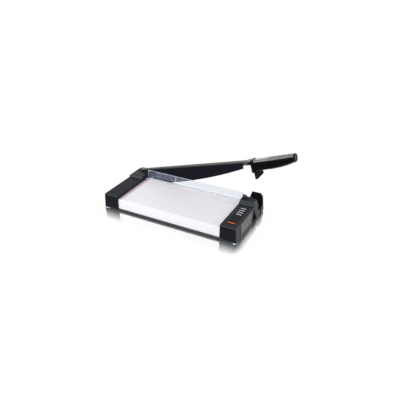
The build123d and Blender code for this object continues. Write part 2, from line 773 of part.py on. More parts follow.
# Handle collar: the guard between the rail and the grip, with a neck over the rail and a slot for the latch
tang_low = -tang_top - tang_height
latch_slot_top = latch_eye + latch_gap - latch_pivot_drop
with BuildPart() as handle_collar:
    with BuildSketch(across(rail_end)):
        with Locations((0, (collar_top - collar_bottom) / 2)):
            RectangleRounded(collar_width, collar_top + collar_bottom, collar_corner)
    extrude(amount=collar_thickness)
    chamfer(handle_collar.edges(), collar_chamfer)
    with BuildSketch(across(rail_end - neck_length)) as neck_section:
        rectangle(-neck_width / 2, neck_width / 2, collar_top - neck_depth, collar_top)
        chamfer(neck_section.vertices().group_by(Axis.Y)[-1], neck_chamfer)
    extrude(amount=neck_length + collar_chamfer)
    with BuildSketch(across(rail_end - neck_length)) as rail_room:
        rectangle(-rail_width / 2 - fit, rail_width / 2 + fit, -rail_bottom, rail_top + fit)
        fillet(rail_room.vertices().group_by(Axis.Y)[-1], rail_round)
    extrude(amount=neck_length, mode=Mode.SUBTRACT)
    with BuildSketch(across(rail_end)):
        rectangle(-tang_width / 2 - fit, tang_width / 2 + fit, tang_low - fit, fit - tang_top)
        rectangle(-latch_slot / 2, latch_slot / 2, -collar_bottom - overrun, latch_slot_top)
    extrude(amount=collar_thickness, mode=Mode.SUBTRACT)
    with Locations(arm_plane * Pos(latch_pivot_s, -latch_pivot_drop, 0)):
        Cylinder(latch_pin_radius + press_gap, collar_width, mode=Mode.SUBTRACT)
handle_collar.part.label = "handle_collar"

# Sections of the grip: distance from the collar, middle, width, height and corner
grip_shares = zip(
    grip_length_shares, grip_rise_shares, grip_width_shares, grip_height_shares, grip_corner_shares
)
grip_stations = [
    (
        grip_length * length_share, grip_rise * rise_share - grip_drop, grip_width * width_share,
        grip_height * height_share, grip_height * height_share * corner_share,
    )
    for length_share, rise_share, width_share, height_share, corner_share in grip_shares
]

# Grip: a loft from a tall section behind the collar to a rounder one, rising to its end
with BuildPart() as handle_grip:
    for distance, middle, width, height, corner in grip_stations:
        with BuildSketch(across(collar_end + distance)):
            with Locations((0, middle)):
                RectangleRounded(width, height, corner)
    loft()
    with BuildSketch(across(collar_end)):
        rectangle(-tang_width / 2 - fit, tang_width / 2 + fit, tang_low - fit, fit - tang_top)
    extrude(amount=rail_end + tang_length + fit - collar_end, mode=Mode.SUBTRACT)
    with BuildSketch(arm_plane):
        rectangle(
            collar_end - overrun, collar_end + latch_slot_length, -grip_drop - grip_height, -latch_slot_roof
        )
    extrude(amount=latch_slot / 2, both=True, mode=Mode.SUBTRACT)
handle_grip.part.label = "handle_grip"

# End cap with a shallow recess in its face
end_middle, end_width, end_height, end_corner = grip_stations[-1][1:]
with BuildPart() as handle_end_cap:
    with BuildSketch(across(grip_end)):
        with Locations((0, end_middle)):
            RectangleRounded(end_width, end_height, end_corner)
    extrude(amount=cap_length)
    cap_face = handle_end_cap.faces().sort_by(Axis(arm_plane.origin, arm_plane.x_dir))[-1]
    chamfer(cap_face.edges(), cap_chamfer)
    with BuildSketch(across(grip_end + cap_length)):
        with Locations((0, end_middle)):
            RectangleRounded(end_width - cap_rim * 2, end_height - cap_rim * 2, end_corner - cap_rim)
    extrude(amount=-cap_recess, mode=Mode.SUBTRACT)
handle_end_cap.part.label = "handle_end_cap"

# Latch lever: a trigger-like catch that swings on a pin through the collar
with BuildPart() as latch_lever:
    with BuildSketch(arm_plane):
        Polygon(
            (latch_pivot_s - latch_eye, -latch_pivot_drop), (latch_pivot_s - latch_eye, -latch_tip),
            (latch_pivot_s - latch_eye + latch_tip_width, -latch_tip),
            (rail_end + latch_length, -latch_back_low), (rail_end + latch_length, -latch_back_high),
            (rail_end + latch_length - latch_shoulder_cut, -latch_shoulder),
            (latch_pivot_s, -latch_shoulder), align=None,
        )
        with Locations((latch_pivot_s, -latch_pivot_drop)):
            Circle(latch_eye)
            Circle(latch_pin_radius + shaft_gap, mode=Mode.SUBTRACT)
    extrude(amount=latch_thickness / 2, both=True)
latch_lever.part.label = "latch_lever"

with BuildPart() as latch_pin:
    with Locations(arm_plane * Pos(latch_pivot_s, -latch_pivot_drop, 0)):
        Cylinder(latch_pin_radius, latch_pin_length)
latch_pin.part.label = "latch_pin"

# Clear clamp: an L-shaped bar with a lug at each end that slides on a guide post
with BuildPart() as clamp_bar:
    with BuildSketch(Plane.YZ.offset(left_in + clamp_end_gap)) as clamp_section:
        Polygon(
            (flange_front, clamp_low), (lip_back, clamp_low), (lip_back, clamp_low + clamp_lip),
            (lip_back - clamp_sheet, clamp_low + clamp_lip),
            (lip_back - clamp_sheet, clamp_low + clamp_sheet), (flange_front, clamp_low + clamp_sheet),
            align=None,
        )
        inner_corner = clamp_section.vertices().sort_by(Axis.X)[2:4].sort_by(Axis.Y)[0]
        fillet(inner_corner, clamp_round)
    extrude(amount=bed_length - clamp_end_gap * 2)
    with BuildSketch(Plane.XY.offset(clamp_low)):
        rectangle(
            left_in - lug_reach, right_in + lug_reach, guide_y - lug_width / 2, guide_y + lug_width / 2
        )
    extrude(amount=clamp_sheet)
    with Locations(*[(x, y, lug_bottom) for x, y in guide_places]):
        Cylinder(lug_boss_radius, lug_boss_height, align=stand)
    guide_hole = lug_boss_height + clamp_sheet + overrun * 2
    with Locations(*[(x, y, lug_bottom - overrun) for x, y in guide_places]):
        Cylinder(guide_radius + guide_gap, guide_hole, align=stand, mode=Mode.SUBTRACT)
clamp_bar.part.label = "clamp_bar"

with BuildPart() as guide_posts:
    for x, y in guide_places:
        with Locations((x, y, plate_top)):
            Cylinder(guide_foot_radius, guide_foot_height, align=stand)
        with Locations((x, y, spring_seat)):
            Cylinder(guide_radius, clamp_low + clamp_sheet + running_gap - spring_seat, align=stand)
        with Locations((x, y, clamp_low + clamp_sheet + running_gap)):
            Cylinder(guide_head_radius, guide_head_height, align=stand)
guide_posts.part.label = "guide_posts"


def coil(place, radius, wire, turns, height):
    """A square-wire compression spring that stands on a plane, with its wire inside the given height."""
    pitch = (height - wire * 2) / turns
    path = place * Pos(0, 0, wire) * Helix(pitch, height - wire * 2, radius)
    start = Plane(origin=path @ 0, x_dir=place.x_dir, z_dir=path % 0)
    return sweep(start * Rectangle(wire * 2, wire * 2), path=path, is_frenet=True)


# Springs under the clamp's lugs, and the latch's own spring in the grip
clamp_spring_radius = guide_radius + guide_gap + spring_wire * 2
clamp_spring_height = lug_bottom - spring_seat
clamp_coils = [
    coil(
        Plane(origin=(x, y, spring_seat)), clamp_spring_radius, spring_wire, spring_turns, clamp_spring_height
    )
    for x, y in guide_places
]
with BuildPart() as clamp_springs:
    add(clamp_coils)
clamp_springs.part.label = "clamp_springs"

latch_spring_plane = Plane(
    origin=arm_plane.from_local_coords((collar_end + latch_spring_place, -latch_shoulder, 0)),
    x_dir=arm_plane.x_dir, z_dir=arm_plane.y_dir,
)
latch_spring_height = latch_shoulder - latch_slot_roof
latch_coil = coil(
    latch_spring_plane, latch_spring_radius, latch_spring_wire, latch_spring_turns, latch_spring_height
)
with BuildPart() as latch_spring:
    add(latch_coil)
latch_spring.part.label = "latch_spring"

# Pan-head screws under the base plate
with BuildPart() as base_screws:
    for places, length in ((long_screws, screw_length), (bracket_holes, bracket_screw_length)):
        for x, y in places:
            with Locations((x, y, foot_height - screw_head_height)):
                Cylinder(screw_head_radius, screw_head_height, align=stand)
            with Locations((x, y, foot_height)):
                Cylinder(screw_radius, length, align=stand)
base_screws.part.label = "base_screws"

sub_parts = [
    base_plate, rubber_feet, table_top, bed_knife, bed_knife_screws, left_housing, hinge_cover, right_housing,
    label_plate, side_panel, receiver, rest_bumpers, hinge_bracket, hinge_bolt, hinge_nut, hinge_washers,
    spring_washers, arm_rail, arm_bushing, blade, blade_screws, handle_collar, handle_grip, handle_end_cap,
    latch_lever, latch_pin, clamp_bar, guide_posts, clamp_springs, latch_spring, base_screws,
]
os.makedirs("parts", exist_ok=True)
for sub_part in sub_parts:
    export_step(sub_part.part, f"parts/{sub_part.part.label}.step")
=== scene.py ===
import json
import math
from collections import namedtuple
from functools import partial, reduce

import bmesh
import bpy
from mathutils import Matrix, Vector


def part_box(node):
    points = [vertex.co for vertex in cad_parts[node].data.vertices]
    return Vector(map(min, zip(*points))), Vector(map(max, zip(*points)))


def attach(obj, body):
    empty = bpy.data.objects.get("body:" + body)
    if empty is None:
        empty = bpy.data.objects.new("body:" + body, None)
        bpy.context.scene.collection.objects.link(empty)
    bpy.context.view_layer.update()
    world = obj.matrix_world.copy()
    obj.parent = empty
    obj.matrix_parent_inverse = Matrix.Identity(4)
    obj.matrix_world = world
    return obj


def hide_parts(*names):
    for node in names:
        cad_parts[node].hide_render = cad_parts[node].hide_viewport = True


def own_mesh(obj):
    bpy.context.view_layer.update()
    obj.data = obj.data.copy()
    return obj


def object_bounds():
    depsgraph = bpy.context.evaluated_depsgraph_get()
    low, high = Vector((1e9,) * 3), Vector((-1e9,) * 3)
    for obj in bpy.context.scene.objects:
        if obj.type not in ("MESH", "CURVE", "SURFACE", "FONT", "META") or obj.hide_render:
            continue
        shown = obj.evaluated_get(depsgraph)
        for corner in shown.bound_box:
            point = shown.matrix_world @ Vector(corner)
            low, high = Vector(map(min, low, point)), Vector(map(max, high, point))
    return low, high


# Looks of the desk paper cutter, in metres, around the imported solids.

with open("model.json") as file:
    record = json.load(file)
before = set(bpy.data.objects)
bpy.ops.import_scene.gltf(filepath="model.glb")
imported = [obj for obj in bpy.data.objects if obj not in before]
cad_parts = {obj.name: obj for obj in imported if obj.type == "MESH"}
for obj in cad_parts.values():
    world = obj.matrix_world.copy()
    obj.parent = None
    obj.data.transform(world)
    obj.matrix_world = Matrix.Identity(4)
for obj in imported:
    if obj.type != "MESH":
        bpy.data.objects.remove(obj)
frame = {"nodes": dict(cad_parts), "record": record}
cad_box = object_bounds()
nodes = frame["nodes"]
scene = bpy.context.scene

# Camera: the photograph's place and angle, with the lens and the sensor in millimetres
camera_azimuth = math.radians(27.45)
camera_elevation = math.radians(29.52)
camera_place = (0.5177, -0.9775, 0.6662)
camera_lens = 40.5
camera_sensor = 36.0

# Printing on the table: sizes, colours and how strongly each is printed
print_depth = 0.0006
grid_pitch = 0.010
grid_line_width = 0.0006
grid_colour = (0.42, 0.40, 0.56)
grid_ink = 0.38
guide_line_setback = 0.026
guide_line_width = 0.0014
guide_line_colour = (0.80, 0.28, 0.36)
guide_line_ink = 0.75
ruler_width = 0.011
ruler_colour = (0.66, 0.55, 0.62)
ruler_pitch = 0.005
ruler_tick_width = 0.0006
ruler_tick_colour = (0.35, 0.22, 0.32)
ruler_tick_ink = 0.6

# Marks on the label plate: a pale border painted as a highlight along its rim, a plain stripe across the
# front end and ticks at the rear end
border_width = 0.0011
border_highlight_colour = (0.11, 0.115, 0.12)
stripe_setback = 0.014
stripe_width = 0.0036
stripe_margin = 0.006
stripe_colour = (0.80, 0.15, 0.03)
tick_count = 4
tick_pitch = 0.011
tick_setback = 0.010
tick_width = 0.0026
tick_length = 0.016
tick_colour = (0.78, 0.80, 0.82)

# Clear clamp: the depth of its lip and of the painted highlights on its cut edges, a pale line on the lip,
# and how opaque each part is
lip_depth = 0.0024
clear_edge = 0.0012
clear_highlight_colour = (0.86, 0.88, 0.93)
mark_share = 0.3045
mark_width = 0.0019
mark_height_share = 0.80
flange_alpha = 0.06
lip_alpha = 0.18
edge_alpha = 0.60

# Ribs around the outer part of the grip
rib_count = 24
rib_radius = 0.0005
rib_sides = 6
rib_start_share = 0.42
rib_end_share = 0.96

# Button heads on the blade's screws: shares of their radius and rise, from the rim to the socket's floor
head_rise = 0.0011
head_sides = 24
dome_shares = ((0.99, 0.0), (0.97, 0.40), (0.86, 0.78), (0.66, 1.0))
socket_shares = ((0.50, 1.0), (0.50, 0.12))
socket_side = math.tau / 6

# Springs: half the wire's thickness and the number of turns, and how fine their meshes are
clamp_spring_wire = 0.00045
clamp_spring_turns = 5
latch_spring_wire = 0.0003
latch_spring_turns = 4
coil_steps = 24
wire_sides = 8

# Points of a mesh closer than this are one point
weld_distance = 1e-6

# Noise: waves to the metre of the tone and of the roughness, its detail, and how it is stretched
plastic_waves = (14.0, 60.0)
paint_waves = (9.0, 40.0)
steel_waves = (30.0, 220.0)
table_waves = (6.0, 30.0)
clear_waves = (8.0, 50.0)
foot_waves = (80.0, 90.0)
scuff_waves = 35.0
full_detail = 4.0
even = (1.0, 1.0, 1.0)
blade_streaks = (0.2, 1.0, 3.0)
knife_streaks = (0.05, 1.0, 6.0)

# Grain: the fine relief of each kind of surface, by noise
Grain = namedtuple("Grain", "waves depth strength detail", defaults=(0.35, 2.0))
housing_grain = Grain(waves=900.0, depth=0.0003)
panel_grain = Grain(waves=900.0, depth=0.0002)
label_grain = Grain(waves=1500.0, depth=0.0001)
grip_grain = Grain(waves=1100.0, depth=0.0001)
cap_grain = Grain(waves=1100.0, depth=0.0002)
coarse_grain = Grain(waves=700.0, depth=0.0003)
paint_grain = Grain(waves=420.0, depth=0.0002, strength=0.12, detail=1.0)
steel_grain = Grain(waves=600.0, depth=0.0001, strength=0.10)
table_grain = Grain(waves=500.0, depth=0.0002, strength=0.10, detail=1.0)
foot_grain = Grain(waves=900.0, depth=0.0002, strength=0.20)

# Looks that several pieces share, or that cover only a part of one
steel_rough = (0.25, 0.42)
handle_dark = (0.0026, 0.0026, 0.0036)
handle_pale = (0.0040, 0.0040, 0.0052)
handle_top_coat = {"Coat_IOR": 2.3, "Coat_Roughness": 0.48}
cap_end_colour = (0.036, 0.036, 0.038)
bevel_colour = (0.50, 0.51, 0.53)

# Where looks change, from none to full: by how squarely a surface faces one way, or by how far it turns
edge_turn = (0.2, 0.45)
housing_side_facing = (0.3, 0.9)
grip_top_facing = (0.45, 0.65)
cap_end_facing = (0.80, 0.90)
bevel_facing = (0.85, 0.90)
flat_facing = (0.965, 0.985)

# How strongly edges are painted paler, as wear and as a painted highlight, at the least and at the most, and
# how strong the coats are
edge_rub_and_highlight = (0.54, 0.9)
housing_side_coat = 0.45
neck_coat = 0.7

# End of the collar's lit neck, as a share of the collar's length along X
neck_share = 0.33

# Stage: the floor, its reflection of the object, its white, and the world's strength as a light
floor_size = 8.0
floor_colour = (0.92, 0.92, 0.92, 1.0)
mirror_colour = (0.98, 0.98, 0.98, 1.0)
reflection_reach = 0.048
reflection_fall = 1.5
reflection_strength = 0.94
reflection_behind = 8.0
reflection_beside = 2.2
reflection_roughness = 0.05
glow_start = 0.004
glow_reach = 0.020
glow_near = 0.97
white_reach = 0.35
world_colour = (1.0, 1.0, 1.0, 1.0)
world_light = 0.42
world_seen = 1.0


class Tree:
    """A node tree, with short calls for the nodes that these looks use."""

    def __init__(self, tree):
        self.tree = tree

    def add(self, kind, **settings):
        node = self.tree.nodes.new(kind)
        for key, value in settings.items():
            setattr(node, key, value)
        return node

    def link(self, source, target):
        self.tree.links.new(source, target)

    def math(self, operation, *values):
        node = self.add("ShaderNodeMath", operation=operation)
        for socket, value in zip(node.inputs, values):
            if isinstance(value, (int, float)):
                socket.default_value = value
            else:
                self.link(value, socket)
        return node.outputs["Value"]

    def total(self, *values):
        return reduce(partial(self.math, "ADD"), values)

    def product(self, *values):
        return reduce(partial(self.math, "MULTIPLY"), values)

    def largest(self, *values):
        return reduce(partial(self.math, "MAXIMUM"), values)

    def minus(self, first, second):
        return self.math("SUBTRACT", first, second)

    def off(self, value, centre):
        """How far a value is from a centre, either way."""
        return self.math("ABSOLUTE", self.minus(value, centre))

    def near(self, value, centre, reach):
        """1 where a value is within reach of a centre, and else 0."""
        return self.math("LESS_THAN", self.off(value, centre), reach)

    def spread(self, factor, low, high):
        """A number between two values, by a factor from 0 to 1."""
        node = self.add("ShaderNodeMapRange")
        node.inputs["To Min"].default_value = low
        node.inputs["To Max"].default_value = high
        self.link(factor, node.inputs["Value"])
        return node.outputs["Result"]

    def rise(self, factor, start, end):
        """A smooth step from 0 to 1 between two values of a factor."""
        node = self.add("ShaderNodeMapRange", interpolation_type="SMOOTHSTEP")
        node.inputs["From Min"].default_value = start
        node.inputs["From Max"].default_value = end
        self.link(factor, node.inputs["Value"])
        return node.outputs["Result"]

    def coordinates(self, kind):
        return self.add("ShaderNodeTexCoord").outputs[kind]

    def split(self, vector):
        parts = self.add("ShaderNodeSeparateXYZ")
        self.link(vector, parts.inputs["Vector"])
        return [parts.outputs[axis] for axis in "XYZ"]

    def place(self):
        """The X, Y and Z of the point on the object, in its own frame."""
        return self.split(self.coordinates("Object"))

    def facing(self):
        """How squarely the surface faces along the object's X, Y and Z, from 0 to 1."""
        return [self.math("ABSOLUTE", side) for side in self.split(self.coordinates("Normal"))]

    def seen(self):
        """1 for rays from the eye, straight or by a mirror or clear plastic, and else 0."""
        rays = self.add("ShaderNodeLightPath").outputs
        return self.largest(rays["Is Camera Ray"], rays["Is Glossy Ray"], rays["Is Transmission Ray"])


class Material(Tree):
    """A material's node tree, around its shader."""

    def __init__(self, name):
        self.material = bpy.data.materials.new(name)
        self.material.use_nodes = True
        super().__init__(self.material.node_tree)
        self.shader = self.tree.nodes["Principled BSDF"]
        self.output = self.tree.nodes["Material Output"]

    def set(self, **values):
        """Plain values on the shader's own sockets; underscores stand for spaces."""
        for key, value in values.items():
            self.shader.inputs[key.replace("_", " ")].default_value = value

    def feed(self, name, socket):
        """A value from nodes for one of the shader's sockets."""
        self.link(socket, self.shader.inputs[name])

    def noise(self, waves, detail=full_detail, stretch=even):
        mapping = self.add("ShaderNodeMapping")
        mapping.inputs["Scale"].default_value = stretch
        self.link(self.coordinates("Object"), mapping.inputs["Vector"])
        node = self.add("ShaderNodeTexNoise")
        node.inputs["Scale"].default_value = waves
        node.inputs["Detail"].default_value = detail
        self.link(mapping.outputs["Vector"], node.inputs["Vector"])
        return node.outputs["Fac"]

    def mix(self, factor, first, second):
        """Two colours mixed by a factor; a colour is three numbers or a socket."""
        node = self.add("ShaderNodeMix", data_type="RGBA")
        self.link(factor, node.inputs["Factor"])
        colour_inputs = [socket for socket in node.inputs if socket.type == "RGBA"]
        for socket, value in zip(colour_inputs, (first, second)):
            if isinstance(value, tuple):
                socket.default_value = (*value, 1.0)
            else:
                self.link(value, socket)
        return [socket for socket in node.outputs if socket.type == "RGBA"][0]

    def paint(self, factor, colour):
        """One more colour over what the surface has so far, by a factor."""
        below = self.shader.inputs["Base Color"].links[0].from_socket
        self.feed("Base Color", self.mix(factor, below, colour))

    def bump(self, height, strength, depth):
        node = self.add("ShaderNodeBump")
        node.inputs["Strength"].default_value = strength
        node.inputs["Distance"].default_value = depth
        self.link(height, node.inputs["Height"])
        self.feed("Normal", node.outputs["Normal"])


def textured(name, dark, pale, rough, waves, grain, streaks=even, grain_streaks=even):
    """A material whose tone, roughness and fine relief each vary by noise."""
    look = Material(name)
    tone_waves, rough_waves = waves
    look.feed("Base Color", look.mix(look.noise(tone_waves, stretch=streaks), dark, pale))
    look.feed("Roughness", look.spread(look.noise(rough_waves, stretch=streaks), *rough))
    if grain:
        look.bump(look.noise(grain.waves, grain.detail, grain_streaks), grain.strength, grain.depth)
    return look


def moulded_plastic(name, dark, pale, rough, grain, gloss):
    """Moulded plastic with a fine grain and a slow change of tone."""
    look = textured(name, dark, pale, rough, plastic_waves, grain)
    look.set(Specular_IOR_Level=gloss)
    return look


def painted_steel(name, dark, pale, rough, gloss, streaks=even):
    """Painted or coated steel, smooth with a faint orange peel."""
    look = textured(name, dark, pale, rough, paint_waves, paint_grain, streaks)
    look.set(Specular_IOR_Level=gloss)
    return look


def bare_steel(name, dark, pale, streaks=even):
    """Plated, ground or turned metal with fine marks along one way."""
    look = textured(name, dark, pale, steel_rough, steel_waves, steel_grain, streaks, streaks)
    look.set(Metallic=1.0)
    return look


def rubbed_and_highlit_edges(look, pale):
    """Edges painted paler, partly wear and partly a painted highlight, where the surface turns from one flat
    side to the next.
    """
    x, y, z = look.facing()
    turn = look.total(look.product(x, y), look.product(z, look.total(x, y)))
    scuffs = look.spread(look.noise(scuff_waves), *edge_rub_and_highlight)
    # Painted highlight mixed with wear: a pale colour along the edges, where light would catch them
    look.paint(look.product(look.rise(turn, *edge_turn), scuffs), pale)


def label_marks(look):
    """A pale border painted as a highlight along the plate's rim, a plain stripe and a row of ticks on the
    label plate.
    """
    low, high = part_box("label_plate")
    width = high[0] - low[0]
    depth = high[1] - low[1]
    x, y, _ = look.place()

    def bar(centre, thickness, length):
        along = look.near(x, low[0] + width / 2, length / 2)
        return look.product(look.near(y, centre, thickness / 2), along)

    inside = bar(low[1] + depth / 2, depth - border_width * 2, width - border_width * 2)
    stripe = bar(low[1] + stripe_setback, stripe_width, width - stripe_margin * 2)
    tick_places = [high[1] - tick_setback - tick_pitch * i for i in range(tick_count)]
    ticks = [bar(place, tick_width, tick_length) for place in tick_places]
    # Painted highlight: a pale border along the label plate's rim
    look.paint(look.minus(1.0, inside), border_highlight_colour)
    look.paint(stripe, stripe_colour)
    look.paint(look.largest(*ticks), tick_colour)


def table_print(look):
    """A printed grid, a line along the cut and a tinted ruler strip at the hinge end, on the table's top."""
    low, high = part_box("table_top")
    x, y, z = look.place()
    from_left = look.minus(x, low[0])
    from_cut = look.minus(high[1], y)
    on_top = look.math("GREATER_THAN", z, high[2] - print_depth)

    def lines(distance, pitch, width):
        return look.math("LESS_THAN", look.math("PINGPONG", distance, pitch / 2), width / 2)

    grid_lines = [lines(distance, grid_pitch, grid_line_width) for distance in (from_left, from_cut)]
    grid = look.largest(*grid_lines)
    guide_line = look.near(from_cut, guide_line_setback, guide_line_width / 2)
    ruler = look.product(look.math("LESS_THAN", from_left, ruler_width), on_top)
    ruler_ticks = lines(from_cut, ruler_pitch, ruler_tick_width)
    look.paint(ruler, ruler_colour)
    look.paint(look.product(grid, on_top, grid_ink), grid_colour)
    look.paint(look.product(guide_line, on_top, guide_line_ink), guide_line_colour)
    look.paint(look.product(ruler_ticks, ruler, ruler_tick_ink), ruler_tick_colour)


def clear_edge_highlights(look):
    """Painted highlights on the clear clamp's cut edges and a pale line on its lip, and how opaque each part
    of it is.
    """
    low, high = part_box("clamp_bar")
    table_low, table_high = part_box("table_top")
    x, y, z = look.place()
    on_lip = look.math("GREATER_THAN", y, high[1] - lip_depth)
    lip_top = look.math("GREATER_THAN", z, high[2] - clear_edge)
    flange_front = look.math("LESS_THAN", y, low[1] + clear_edge)
    ends = [look.near(x, end, clear_edge) for end in (table_low[0], table_high[0])]
    mark_x = table_low[0] + (table_high[0] - table_low[0]) * mark_share
    mark_top = low[2] + (high[2] - low[2]) * mark_height_share
    below_mark_top = look.math("LESS_THAN", z, mark_top)
    mark = look.product(look.near(x, mark_x, mark_width / 2), below_mark_top)
    bright = look.largest(lip_top, flange_front, look.product(look.largest(*ends, mark), on_lip))
    # Painted highlights on the lip's top, the flange's front and the lip's ends; the pale line on the lip
    # gets the same colour
    look.paint(bright, clear_highlight_colour)
    sheet_alpha = look.spread(on_lip, flange_alpha, lip_alpha)
    look.feed("Alpha", look.largest(sheet_alpha, look.product(bright, edge_alpha)))


def ground_bevel(look):
    """Bare ground metal on the cutting edge's bevel, which faces the back less squarely than the flat."""
    _, side, _ = look.facing()
    bevel = look.minus(look.rise(side, *bevel_facing), look.rise(side, *flat_facing))
    look.paint(bevel, bevel_colour)
    look.feed("Metallic", bevel)


# Mouldings of the base
housing = moulded_plastic(
    "housing_plastic", dark=(0.0068, 0.0078, 0.0122), pale=(0.0096, 0.0109, 0.0166), rough=(0.42, 0.54),
    grain=housing_grain, gloss=0.044,
)
# Housing edges: wear and a painted highlight
rubbed_and_highlit_edges(housing, pale=(0.075, 0.080, 0.085))
housing.set(Coat_Roughness=0.40)
housing_facing, _, _ = housing.facing()
housing_side = housing.rise(housing_facing, *housing_side_facing)
housing.feed("Coat Weight", housing.product(housing_side, housing_side_coat))

cover = moulded_plastic(
    "cover_plastic", dark=(0.0086, 0.0094, 0.0130), pale=(0.0120, 0.0130, 0.0172), rough=(0.40, 0.52),
    grain=housing_grain, gloss=0.070,
)
# Hinge cover edges: wear and a painted highlight
rubbed_and_highlit_edges(cover, pale=(0.085, 0.088, 0.092))

# Side panel: paler and glossier than the housings; its pale grey is in part painted light, for the light on
# the right side
panel = moulded_plastic(
    "panel_plastic", dark=(0.062, 0.065, 0.065), pale=(0.082, 0.085, 0.085), rough=(0.36, 0.46),
    grain=panel_grain, gloss=0.68,
)
label = moulded_plastic(
    "label_plastic", dark=(0.0060, 0.0066, 0.0090), pale=(0.0080, 0.0088, 0.0115), rough=(0.34, 0.42),
    grain=label_grain, gloss=0.05,
)
label_marks(label)

# Mouldings of the handle: the grip's top and the collar's neck have a rough bright coat
grip = moulded_plastic(
    "grip_plastic", handle_dark, handle_pale, rough=(0.22, 0.30), grain=grip_grain, gloss=0.04
)
grip.set(**handle_top_coat)
_, _, grip_facing = grip.facing()
grip.feed("Coat Weight", grip.rise(grip_facing, *grip_top_facing))

collar = moulded_plastic(
    "collar_plastic", handle_dark, handle_pale, rough=(0.24, 0.32), grain=grip_grain, gloss=0.05
)
collar.set(**handle_top_coat)
collar_low, collar_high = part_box("handle_collar")
neck_end = collar_low[0] + (collar_high[0] - collar_low[0]) * neck_share
on_neck = collar.math("LESS_THAN", collar.place()[0], neck_end)
_, _, collar_facing = collar.facing()
collar_top = collar.rise(collar_facing, *grip_top_facing)
collar.feed("Coat Weight", collar.product(collar_top, on_neck, neck_coat))

cap = moulded_plastic(
    "cap_plastic", handle_dark, handle_pale, rough=(0.30, 0.38), grain=cap_grain, gloss=0.10
)
cap_facing, _, _ = cap.facing()
cap.paint(cap.rise(cap_facing, *cap_end_facing), cap_end_colour)

latch = moulded_plastic(
    "latch_plastic", dark=(0.010, 0.010, 0.010), pale=(0.020, 0.020, 0.019), rough=(0.40, 0.52),
    grain=coarse_grain, gloss=0.06,
)
# Latch edges: wear and a painted highlight
rubbed_and_highlit_edges(latch, pale=(0.060, 0.060, 0.062))

# Rubber
bumper = moulded_plastic(
    "bumper_rubber", dark=(0.010, 0.010, 0.010), pale=(0.016, 0.016, 0.016), rough=(0.7, 0.85),
    grain=coarse_grain, gloss=0.30,
)
foot = textured(
    "foot_rubber", dark=(0.84, 0.89, 0.98), pale=(0.90, 0.94, 1.00), rough=(0.45, 0.6),
    waves=foot_waves, grain=foot_grain,
)

# Painted and coated steel
strip = painted_steel(
    "strip_paint", dark=(0.026, 0.033, 0.035), pale=(0.036, 0.044, 0.046), rough=(0.36, 0.48), gloss=0.25
)
rail = painted_steel(
    "rail_paint", dark=(0.0060, 0.0064, 0.0070), pale=(0.0095, 0.0100, 0.0108), rough=(0.34, 0.46), gloss=1.0
)
blade = painted_steel(
    "blade_coating", dark=(0.0028, 0.0034, 0.0066), pale=(0.0080, 0.0086, 0.0150), rough=(0.26, 0.36),
    gloss=0.08, streaks=blade_streaks,
)
ground_bevel(blade)
table = textured(
    "table_paint", dark=(0.84, 0.835, 0.87), pale=(0.87, 0.865, 0.89), rough=(0.50, 0.62),
    waves=table_waves, grain=table_grain,
)
table.set(Specular_IOR_Level=0.15)
table_print(table)

# Bare metal
steel = bare_steel("plated_steel", dark=(0.42, 0.43, 0.44), pale=(0.56, 0.57, 0.58))
knife = bare_steel("ground_steel", dark=(0.36, 0.37, 0.39), pale=(0.52, 0.53, 0.55), streaks=knife_streaks)
brass = bare_steel("turned_brass", dark=(0.52, 0.36, 0.13), pale=(0.66, 0.48, 0.20))

# Clear plastic: its IOR is high because its low alpha takes away most of what its faces mirror
clear = textured(
    "clear_plastic", dark=(0.30, 0.38, 0.60), pale=(0.34, 0.42, 0.64), rough=(0.05, 0.10),
    waves=clear_waves, grain=None,
)
clear.set(IOR=3.4)
clear_edge_highlights(clear)

finishes = {
    "base_plate": strip, "rubber_feet": foot, "table_top": table, "bed_knife": knife,
    "bed_knife_screws": steel, "left_housing": housing, "hinge_cover": cover, "right_housing": housing,
    "label_plate": label, "side_panel": panel, "receiver": housing, "rest_bumpers": bumper,
    "hinge_bracket": steel, "hinge_bolt": steel, "hinge_nut": steel, "hinge_washers": steel,
    "spring_washers": steel, "arm_rail": rail, "arm_bushing": brass, "blade": blade, "blade_screws": steel,
    "handle_collar": collar, "handle_grip": grip, "handle_end_cap": cap, "latch_lever": latch,
    "latch_pin": steel, "clamp_bar": clear, "guide_posts": steel, "clamp_springs": steel,
    "latch_spring": steel, "base_screws": steel,
}
for name, finish in finishes.items():
    mesh = nodes[name].data
    mesh.materials.clear()
    mesh.materials.append(finish.material)


def placed(name, data):
    """A new object in the scene."""
    thing = bpy.data.objects.new(name, data)
    scene.collection.objects.link(thing)
    return thing


def section_loop(node, point, normal):
    """The outer outline of a node's mesh where a plane cuts it, as points in order."""
    cut = bmesh.new()
    cut.from_mesh(nodes[node].data)
    bmesh.ops.bisect_plane(
        cut, geom=cut.verts[:] + cut.edges[:] + cut.faces[:], plane_co=point, plane_no=normal,
        clear_inner=True, clear_outer=True,
    )
    bmesh.ops.remove_doubles(cut, verts=cut.verts[:], dist=weld_distance)
    loops = []
    left = dict.fromkeys(cut.verts)
    while left:
        vert = left.popitem()[0]
        loop = [vert]
        while True:
            others = [edge.other_vert(vert) for edge in vert.link_edges]
            ahead = [other for other in others if other in left]
            if not ahead:
                break
            vert = ahead[0]
            left.pop(vert)
            loop.append(vert)
        loops.append([vert.co.copy() for vert in loop])
    cut.free()
    return max(loops, key=lambda loop: max((place - loop[0]).length for place in loop))


def wire_rings(name, loops, radius, sides):
    """Closed round wires along loops of points, as one curve."""
    curve = bpy.data.curves.new(name, "CURVE")
    curve.dimensions = "3D"
    curve.bevel_depth = radius
    curve.bevel_resolution = sides // 2 - 1
    for loop in loops:
        spline = curve.splines.new("POLY")
        spline.points.add(len(loop) - 1)
        for point, place in zip(spline.points, loop):
            point.co = (*place, 1.0)
        spline.use_cyclic_u = True
    return placed(name, curve)


